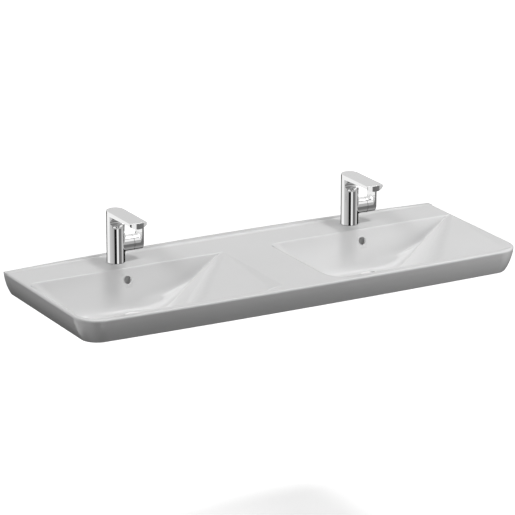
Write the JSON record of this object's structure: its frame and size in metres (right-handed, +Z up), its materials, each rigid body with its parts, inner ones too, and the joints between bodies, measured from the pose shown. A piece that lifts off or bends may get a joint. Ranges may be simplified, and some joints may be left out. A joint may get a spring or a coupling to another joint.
{
  "type": "double washbasin",
  "caption": "Wide wall-hung ceramic double washbasin with slanted bowls, side-lever mixer taps and push-to-open wastes.",
  "frame": {"origin": "on the wall plane, half way along the basin, at the height of the rim", "axes": "+X along the wall to the right seen from the front, +Y towards the wall, +Z up"},
  "size_m": [1.3, 0.491, 0.291],
  "materials": {
    "ceramic": "white glazed",
    "chrome": "polished",
    "brass": "bare turned",
    "steel": "zinc plated",
    "rubber": "moulded",
    "white_plastic": "moulded",
    "grey_plastic": "moulded"
  },
  "bodies": {
    "basin_and_fixings": {"basin": "ceramic", "left_tap_body": "chrome", "left_aerator_housing": "chrome", "left_aerator_insert": "grey_plastic", "left_cartridge": "grey_plastic", "left_cartridge_nut": "brass", "left_tap_base_seal": "rubber", "left_mounting_stud": "steel", "left_rubber_horseshoe": "rubber", "left_metal_horseshoe": "steel", "left_stud_nut": "brass", "left_waste_body": "chrome", "left_waste_top_seal": "rubber", "left_push_barrel": "brass", "left_waste_lower_seal": "rubber", "left_waste_slip_washer": "white_plastic", "left_waste_backnut": "brass", "right_tap_body": "chrome", "right_aerator_housing": "chrome", "right_aerator_insert": "grey_plastic", "right_cartridge": "grey_plastic", "right_cartridge_nut": "brass", "right_tap_base_seal": "rubber", "right_mounting_stud": "steel", "right_rubber_horseshoe": "rubber", "right_metal_horseshoe": "steel", "right_stud_nut": "brass", "right_waste_body": "chrome", "right_waste_top_seal": "rubber", "right_push_barrel": "brass", "right_waste_lower_seal": "rubber", "right_waste_slip_washer": "white_plastic", "right_waste_backnut": "brass"},
    "left_temperature_turret": {"left_turret": "brass"},
    "left_spindle": {"left_valve_spindle": "steel"},
    "left_lever": {"left_handle": "chrome", "left_lever_carrier": "white_plastic", "left_tilt_pin": "steel", "left_handle_screw": "steel", "left_screw_plug": "chrome"},
    "left_waste_plug": {"left_plug": "chrome", "left_plug_seal": "rubber"},
    "right_temperature_turret": {"right_turret": "brass"},
    "right_spindle": {"right_valve_spindle": "steel"},
    "right_lever": {"right_handle": "chrome", "right_lever_carrier": "white_plastic", "right_tilt_pin": "steel", "right_handle_screw": "steel", "right_screw_plug": "chrome"},
    "right_waste_plug": {"right_plug": "chrome", "right_plug_seal": "rubber"}
  },
  "joints": [
    {"name": "left_temperature", "type": "hinge", "parent": "basin_and_fixings", "child": "left_temperature_turret", "pos_m": [-0.3145, -0.064, 0.047], "axis": [1, 0, 0], "range_deg": [-45, 45]},
    {"name": "left_flow", "type": "hinge", "parent": "left_temperature_turret", "child": "left_lever", "pos_m": [-0.3055, -0.064, 0.035], "axis": [0, 1, 0], "range_deg": [0, 22]},
    {"name": "left_spindle_pull", "type": "slide", "parent": "left_temperature_turret", "child": "left_spindle", "axis": [1, 0, 0], "range_m": [0, 0.0054]},
    {"name": "left_plug_lift", "type": "slide", "parent": "basin_and_fixings", "child": "left_waste_plug", "axis": [0, 0, 1], "range_m": [0, 0.008]},
    {"name": "right_temperature", "type": "hinge", "parent": "basin_and_fixings", "child": "right_temperature_turret", "pos_m": [0.3975, -0.064, 0.047], "axis": [1, 0, 0], "range_deg": [-45, 45]},
    {"name": "right_flow", "type": "hinge", "parent": "right_temperature_turret", "child": "right_lever", "pos_m": [0.4065, -0.064, 0.035], "axis": [0, 1, 0], "range_deg": [0, 22]},
    {"name": "right_spindle_pull", "type": "slide", "parent": "right_temperature_turret", "child": "right_spindle", "axis": [1, 0, 0], "range_m": [0, 0.0054]},
    {"name": "right_plug_lift", "type": "slide", "parent": "basin_and_fixings", "child": "right_waste_plug", "axis": [0, 0, 1], "range_m": [0, 0.008]}
  ],
  "couplings": [
    {"joint": "left_spindle_pull", "follows": "left_flow", "m_per_rad": 0.0137},
    {"joint": "right_spindle_pull", "follows": "right_flow", "m_per_rad": 0.0137}
  ]
}
